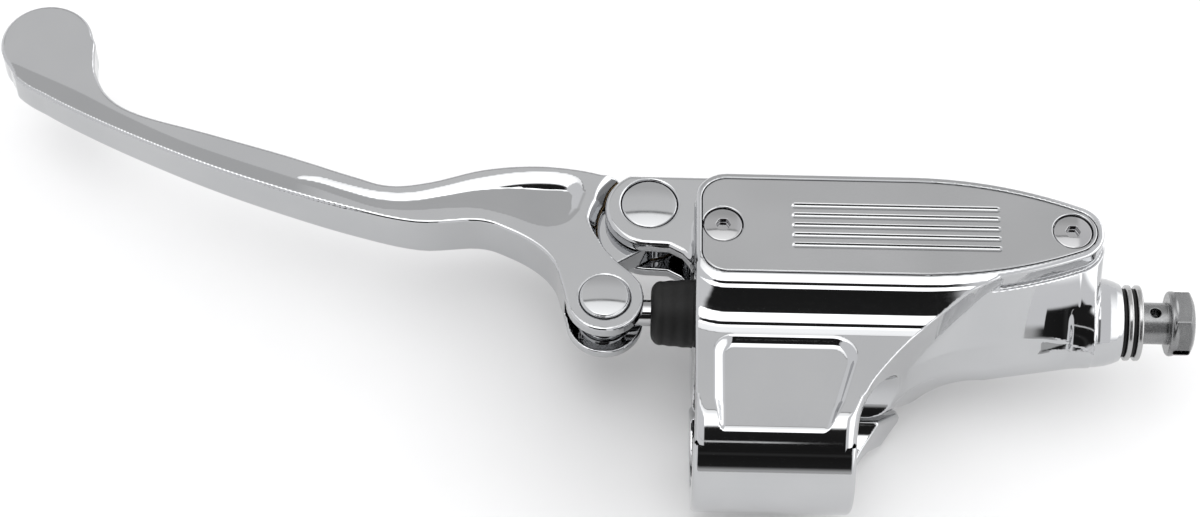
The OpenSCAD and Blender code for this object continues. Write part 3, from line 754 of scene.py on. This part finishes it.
def trunnion_field(x, y, z):
    """A barrel pin with a domed cap, a cross hole for the rod and a groove for its clip."""
    radius = length(x - TRUNNION[0], y - TRUNNION[1])
    low, top = trunnion_lo[2], trunnion_hi[2]
    cap_r, dome = 5.35, 0.36
    bar = meet(radius - 5.65, slab(z, low, top - 0.55), 0.3)
    cap = meet(radius - cap_r, z - top + dome * (radius / cap_r) ** 2, 0.3)
    cap = np.maximum(cap, BORE_Z - z)
    bar = np.minimum(bar, cap)
    cross = from_bore(y, z) - 3.05
    groove = np.maximum(slab(z, low + 0.45, low + 1.3), 5.05 - radius)
    return carve(carve(bar, cross, 0.2), groove, 0.1)


def hex_line(u, v, across):
    """Signed distance, near enough, to a hexagon with flats across apart, a flat facing v."""
    half = across / 2
    field = np.abs(v) - half
    for turn in (60, 120):
        c, s = math.cos(math.radians(turn)), math.sin(math.radians(turn))
        field = meet(field, np.abs(c * v + s * u) - half, 0.25)
    return field


def cover_screw_field(sx):
    """A flat screw with a slightly domed head and a hexagon socket."""
    head_r, dome = COVER_SCREW_R - 0.2, 0.32

    def field(x, y, z):
        radius = length(x - sx, y - COVER_Y)
        shank = meet(radius - 2.05, slab(z, RIM_Z - 14, RIM_Z - 1), 0.3)
        head = meet(meet(radius - head_r, RIM_Z - 1.9 - z, 0.15),
                    z - RIM_Z + 0.08 + dome * (radius / head_r) ** 2, 0.3)
        socket = np.maximum(hex_line(x - sx, y - COVER_Y, 2.9), RIM_Z - 1.5 - z)
        return carve(np.minimum(shank, head), socket, 0.12)
    return field


def clamp_screw_field(sx):
    """A socket screw from below, with a knurled head."""
    knurls, knurl_depth, head_top, head_foot = 24, 0.05, -5.5, -11.6

    def field(x, y, z):
        over, along = split_frame(y, z)
        along = along - CLAMP_SCREW_ALONG
        radius = length(x - sx, along)
        shank = meet(radius - 3.13, slab(over, head_top - 0.1, 9.0), 0.4)
        knurl = knurl_depth * np.sin(knurls * np.arctan2(along, x - sx))
        knurl = knurl * np.clip((head_top - 1.1 - over) * 2, 0, 1)
        head = meet(radius - 4.75 - knurl, slab(over, head_foot, head_top), 0.5)
        socket = np.maximum(hex_line(x - sx, along, 4.76), over + 8.4)
        return carve(np.minimum(shank, head), socket, 0.2)
    return field


def clamp_washer_field(sx):
    """The flat washer under a clamp screw's head."""
    def field(x, y, z):
        over, along = split_frame(y, z)
        radius = length(x - sx, along - CLAMP_SCREW_ALONG)
        ring = meet(radius - 4.95, slab(over, -5.5, CLAMP_WASHER_TOP - 0.05), 0.18)
        return carve(ring, radius - 3.25, 0.12)
    return field


def banjo_bolt_field(x, y, z):
    """A flanged hexagon bolt along the bore's axis, hollow, with a cross hole and a thread."""
    u, v = y - BORE_Y, z - BORE_Z
    radius = length(u, v)
    collar = bolt_hi[0] - 5.7  # where the flange begins
    thread = 0.10 * np.abs(np.mod(x, 1.0) * 2 - 1) * np.clip(78.5 - x, 0, 1)
    shank = meet(radius - 4.68 + thread, slab(x, 68, collar + 1), 0.25)
    flange = meet(radius - 7.3, slab(x, collar, collar + 1.5), 0.6)
    crown = meet(hex_line(u, v, 14.0), slab(x, collar + 1, bolt_hi[0]), 0.35)
    crown = meet(crown, radius + 1.9 * (x - bolt_hi[0]) - 5.6, 0.4)
    bolt = join(np.minimum(shank, flange), crown, 0.5)
    bolt = carve(bolt, np.maximum(radius - 1.7, x - collar + 2), 0.1)
    return carve(bolt, length(x - collar + 3, u) - 1.2, 0.25)


def crush_washer_field(x0, x1):
    """A thick ring with rounded edges, from x0 to x1."""
    def field(x, y, z):
        radius = from_bore(y, z)
        ring = meet(radius - 8.5, slab(x, x0, x1), 0.42)
        return carve(ring, radius - 5.06, 0.2)
    return field


def seal_field(x, y, z):
    """The two rubber rings, one at the neck and one between the washers."""
    radius = from_bore(y, z)
    both = np.minimum(slab(x, washer_lo[0] - 0.88, washer_lo[0] - 0.02),
                      slab(x, washer_hi[0] + 0.02, outer_washer_lo[0] - 0.02))
    return carve(meet(radius - 7.7, both, 0.3), radius - 4.9, 0.1)


# The boot's section, as (x, radius): its nose is open wide enough for the rod to tilt.
NOSE_R = 4.3
BOOT = inside_of([(boot_lo[0], NOSE_R), *arc(boot_lo[0] + 2.5, NOSE_R + 0.5, 2.5, 180, 84, 10),
                  (BODY_X0 - 0.6, 7.75), (BODY_X0, 7.8), (boot_hi[0], 7.85), (boot_hi[0], 6.2),
                  (-18.5, 6.2), (-23.6, 5.7), (boot_lo[0] + 1.8, NOSE_R)])


def boot_field(x, y, z):
    """A turned rubber cup with faint ridges."""
    radius = from_bore(y, z)
    ridge = 0.06 * np.cos((x - boot_lo[0]) * 2 * math.pi / 2.9) * np.clip(radius - 6, 0, 1)
    return BOOT(x, radius) + 0.08 + ridge


def pushrod_field(x, y, z):
    """A rod with a ball end in the piston, and a thread and a slot at the other end."""
    radius = from_bore(y, z)
    ball_r, thread_end = 3.4, -33
    thread = 0.09 * np.abs(np.mod(x, 0.8) * 2.5 - 1) * np.clip(thread_end - x, 0, 1)
    rod_part = meet(radius - 2.98 + thread, slab(x, rod_lo[0], rod_hi[0] - 3), 0.4)
    ball = length(radius, x - rod_hi[0] + ball_r) - ball_r
    slot = np.maximum(slab(z - BORE_Z, -0.5, 0.5), x - rod_lo[0] - 1.4)
    return carve(join(rod_part, ball, 0.6), slot, 0.12)


def clip_field(cx, cy, node):
    """An open spring ring about (cx, cy), as large as its node."""
    lo, hi = box_mm(node)
    outer = (hi[0] - lo[0]) / 2
    width, half_gap = 1.6, 1.6

    def field(x, y, z):
        radius = length(x - cx, y - cy)
        ring = meet(radius - outer, slab(z, lo[2], hi[2]), 0.15)
        ring = carve(ring, radius - (outer - width), 0.12)
        return carve(ring, np.maximum(slab(x - cx, -half_gap, half_gap), y - cy), 0.15)
    return field


# ------------------------------------------------------------------ the pieces

build("body_casting", body_field, body_lo, body_hi, VOXEL, CHROME, "housing", "chrome", ["body"])
build("clamp_lower", clamp_field, clamp_lo, clamp_hi, VOXEL, CHROME, "housing", "chrome",
      ["bar_clamp"])
build("lever_blade", lever_field, lever_lo, lever_hi, VOXEL, CHROME, "lever", "chrome", ["lever"])
build("cover_plate", cover_field, cover_lo, cover_hi, FINE * 1.25, SATIN, "housing", "cover_satin",
      ["reservoir_cover"])
build("pivot_pin_headed", pivot_pin_field, pin_lo, pin_hi, FINE, CHROME, "housing", "chrome",
      ["pivot_pin"])
build("trunnion_pin", trunnion_field, trunnion_lo, trunnion_hi, FINE, CHROME, "pushrod", "chrome",
      ["trunnion"])
build("banjo_bolt_turned", banjo_bolt_field, bolt_lo, bolt_hi, FINE, BOLT, "housing",
      "screw_steel", ["banjo_bolt"])
build("crush_washer_inner", crush_washer_field(washer_lo[0], washer_hi[0]), washer_lo, washer_hi,
      FINE, WASHER, "housing", "washer_steel", ["inner_crush_washer"])
build("crush_washer_outer", crush_washer_field(outer_washer_lo[0], outer_washer_hi[0]),
      outer_washer_lo, outer_washer_hi, FINE, WASHER, "housing", "washer_steel",
      ["outer_crush_washer"])
build("crush_washer_rubber", seal_field, *box_mm("crush_washer_seals"), FINE, RUBBER, "housing",
      "rubber", ["crush_washer_seals"])
build("pushrod_threaded", pushrod_field, rod_lo, rod_hi, FINE, SCREW, "pushrod", "screw_steel",
      ["pushrod"])
build("trunnion_clip_ring", clip_field(TRUNNION[0], TRUNNION[1], "trunnion_clip"),
      *box_mm("trunnion_clip"), FINE * 0.7, SPRING, "pushrod", "spring_steel", ["trunnion_clip"])
build("pivot_clip_ring", clip_field(PIVOT[0], PIVOT[1], "pivot_clip"), *box_mm("pivot_clip"),
      FINE * 0.7, SPRING, "housing", "spring_steel", ["pivot_clip"])


def build_pair(name, node, maker, places, reach, look, slot):
    """Two like pieces that share one CAD node: each its own mesh, both standing for the node."""
    lo, hi = box_mm(node)
    for side, place in zip("ab", places):
        build(f"{name}_{side}", maker(place), (place - reach, lo[1], lo[2]),
              (place + reach, hi[1], hi[2]), FINE * 0.8, look, "housing", slot, [node])


screw_lo, screw_hi = box_mm("cover_screws")
build_pair("cover_screw", "cover_screws", cover_screw_field, COVER_SCREW_X,
           (screw_hi[1] - screw_lo[1]) / 2, SCREW, "screw_steel")
CLAMP_SCREW_REACH = 6.0  # a little past the head and the washer
build_pair("clamp_screw", "clamp_screws", clamp_screw_field, CLAMP_SCREW_X, CLAMP_SCREW_REACH,
           SCREW, "screw_steel")
build_pair("clamp_washer", "clamp_screw_washers", clamp_washer_field, CLAMP_SCREW_X,
           CLAMP_SCREW_REACH, WASHER, "washer_steel")
boot = build("dust_boot_rubber", boot_field, boot_lo, boot_hi, FINE, RUBBER, None, "rubber",
             ["dust_boot"])
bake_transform(boot)


def coil_spring():
    """The return spring: round wire swept along a helix, with domed ends. It runs from the seat on
    the piston to the end of the bore."""
    lo, hi = box_mm("return_spring")
    wire_r, coils, steps, sides, dome = 0.6, 9, 30, 14, 4
    coil_r = (hi[1] - lo[1]) / 2 - 0.7
    end_gap = 0.65
    # per ring of points: the share of the helix, the wire's girth, and how far past the end it is
    cap = np.arange(dome) / dome
    turn = np.linspace(0, 1, coils * steps + 1)
    along = np.concatenate([np.zeros(dome), turn, np.ones(dome)])
    girth = np.concatenate([np.sin(cap * math.pi / 2) + 0.02, np.ones(len(turn)),
                            np.cos((cap + 1 / dome) * math.pi / 2) + 0.02])
    girth = np.minimum(girth, 1)[:, None]
    beyond = np.concatenate([cap - 1, np.zeros(len(turn)), cap + 1 / dome]) * wire_r
    angle = (along * coils * 2 * math.pi + beyond / coil_r)[:, None]
    around = np.arange(sides) * 2 * math.pi / sides
    radius = coil_r + wire_r * girth * np.cos(around)
    middle = (lo[0] + end_gap + (hi[0] - lo[0] - 2 * end_gap) * along)[:, None]
    x = middle + wire_r * girth * np.sin(around)
    at = np.stack([x, BORE_Y + radius * np.cos(angle), BORE_Z + radius * np.sin(angle)], -1)
    outward = np.stack([np.sin(around) + 0 * x, np.cos(around) * np.cos(angle),
                        np.cos(around) * np.sin(angle)], -1)
    i, k = np.meshgrid(np.arange(len(along) - 1), np.arange(sides), indexing="ij")
    n = (k + 1) % sides
    tube = np.stack([i * sides + k, i * sides + n, (i + 1) * sides + n, (i + 1) * sides + k], -1)
    end = np.array([[0, j, j + 1, j + 2] for j in range(1, sides - 2, 2)])
    quads = np.concatenate([tube.reshape(-1, 4), end[:, ::-1], end + (len(along) - 1) * sides])
    spring = add_piece("return_spring_coil", at.reshape(-1, 3), quads, outward.reshape(-1, 3),
                       SPRING, None, ["return_spring"])
    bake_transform(spring)


coil_spring()

# CAD nodes that keep their own shape take the look of the material slot they came in with.
for name, node in frame["nodes"].items():
    if not node.hide_render:
        slot = node.data.materials[0].name.split(".")[0]
        look = SLOT_LOOK.get(slot, SPRING)
        node.data.materials.clear()
        node.data.materials.append(look)


# ------------------------------------------------------------------ floor, light and camera

def floor():
    """A plain pale sheet just under the object."""
    size, low = 6.0, cad_lo[2] - 0.0005
    mesh = bpy.data.meshes.new("floor")
    mesh.from_pydata([(-size, -size, low), (size, -size, low), (size, size, low),
                      (-size, size, low)], [], [(0, 1, 2, 3)])
    material, tree, shader = new_material("floor_paper", (0.82, 0.82, 0.82), 0.0, 0.75)
    shader.inputs["Specular IOR Level"].default_value = 0.1
    tree.links.new(spread(tree, noise(tree, 30), (0.815, 0.815, 0.815), (0.83, 0.83, 0.83)),
                   shader.inputs["Base Color"])
    mesh.materials.append(material)
    sheet = bpy.data.objects.new("floor", mesh)
    bpy.context.scene.collection.objects.link(sheet)


BRIGHTNESS = 1.5
WALL = (0.235, 0.235, 0.238, 1)
LAMP = (0.62, 0.62, 0.62, 1)
STREAK = (0.2, 0.2, 0.2, 1)
STREAK_AT = 46  # degrees
# The tent's brightness round the bar's axis, in degrees from straight up towards the camera.
TENT = [(-180, 0.55), (-95, 0.55), (-80, 0.50), (-45, 0.48), (-38, 0.62), (-29.2, 0.64),
        (-28.6, 0.15), (-27.6, 0.15), (-27, 1.0), (-20, 1.2), (-11, 1.5), (-4, 1.9), (20, 2.0),
        (23, 1.8), (26, 0.06), (28, 0.014), (60, 0.010), (63, 0.03), (66, 0.010), (82, 0.014),
        (87, 0.40), (110, 0.55), (180, 0.55)]
TENT_SCALE = 3.0


def studio():
    """A pale tent: a bright strip overhead, a dark card on the camera's side, pale walls."""
    world = bpy.data.worlds.new("studio")
    bpy.context.scene.world = world
    world.use_nodes = True
    tree = world.node_tree
    nodes, links = tree.nodes, tree.links
    background = nodes["Background"]
    where = nodes.new("ShaderNodeTexCoord")
    split = nodes.new("ShaderNodeSeparateXYZ")
    links.new(where.outputs["Generated"], split.inputs["Vector"])

    def maths(kind, a, b=None):
        node = nodes.new("ShaderNodeMath")
        node.operation = kind
        for i, source in enumerate((a, b)):
            if isinstance(source, (int, float)):
                node.inputs[i].default_value = source
            elif source is not None:
                links.new(source, node.inputs[i])
        return node.outputs[0]

    # the angle from straight up towards the camera's side, from -180 to 180 degrees
    toward = maths("MULTIPLY", split.outputs["Y"], -1)
    angle = maths("MULTIPLY", maths("ARCTAN2", toward, split.outputs["Z"]), 180 / math.pi)
    place = maths("DIVIDE", maths("ADD", angle, 180), 360)
    ramp = nodes.new("ShaderNodeValToRGB")
    ramp.color_ramp.interpolation = "LINEAR"
    elements = ramp.color_ramp.elements
    for at, shade in TENT[1:-1]:
        elements.new((at + 180) / 360).color = (*[shade / TENT_SCALE] * 3, 1)
    elements[0].color = elements[-1].color = (*[TENT[0][1] / TENT_SCALE] * 3, 1)
    links.new(place, ramp.inputs["Fac"])

    def fade(source, start, stop):
        node = nodes.new("ShaderNodeMapRange")
        node.interpolation_type = "SMOOTHSTEP"
        node.inputs["From Min"].default_value = start
        node.inputs["From Max"].default_value = stop
        links.new(source, node.inputs["Value"])
        return node.outputs["Result"]

    def blend(factor, a, b):
        node = nodes.new("ShaderNodeMix")
        node.data_type = "RGBA"
        links.new(factor, node.inputs["Factor"])
        for name, source in (("A", a), ("B", b)):
            if isinstance(source, tuple):
                node.inputs[name].default_value = source
            else:
                links.new(source, node.inputs[name])
        return node.outputs["Result"]

    # beyond the card's ends the tent's side walls are pale, and a lamp shines from the right
    right = fade(split.outputs["X"], 0.19, 0.25)
    left = fade(maths("MULTIPLY", split.outputs["X"], -1), 0.30, 0.42)
    pale = blend(maths("MAXIMUM", left, right), ramp.outputs["Color"], WALL)
    off_streak = maths("ABSOLUTE", maths("SUBTRACT", angle, STREAK_AT))
    streak = maths("SUBTRACT", 1, fade(off_streak, 0.7, 1.5))
    streak = maths("MULTIPLY", streak, maths("SUBTRACT", 1, fade(split.outputs["X"], 0.06, 0.075)))
    lamp = maths("MULTIPLY", fade(split.outputs["X"], 0.5, 0.75), fade(split.outputs["Z"], 0.0, 0.2))
    pale = blend(lamp, pale, LAMP)
    links.new(blend(streak, pale, STREAK), background.inputs["Color"])
    background.inputs["Strength"].default_value = TENT_SCALE * BRIGHTNESS


ELEVATION, ROLL = 57, 1.2  # degrees
EYE = (-0.03896, -0.35010, 0.60730)
SENSOR, FOCAL = 36, 95.45


def camera():
    """The camera stands in front and above, turned a little about its own axis."""
    elevation, roll = math.radians(ELEVATION), math.radians(ROLL)
    ahead = np.array([0, math.cos(elevation), -math.sin(elevation)])
    over = np.array([0, math.sin(elevation), math.cos(elevation)])
    right = np.array([math.cos(roll), *(math.sin(roll) * over)[1:]])
    up = np.array([-math.sin(roll), *(math.cos(roll) * over)[1:]])
    lens = bpy.data.cameras.new("camera")
    lens.sensor_width, lens.lens = SENSOR, FOCAL
    lens.clip_start, lens.clip_end = 0.01, 50
    eye = bpy.data.objects.new("camera", lens)
    bpy.context.scene.collection.objects.link(eye)
    eye.matrix_world = Matrix([(right[i], up[i], -ahead[i], EYE[i]) for i in range(3)]
                              + [(0, 0, 0, 1)])
    bpy.context.scene.camera = eye


floor()
studio()
camera()
bpy.context.scene.view_settings.view_transform = "Standard"
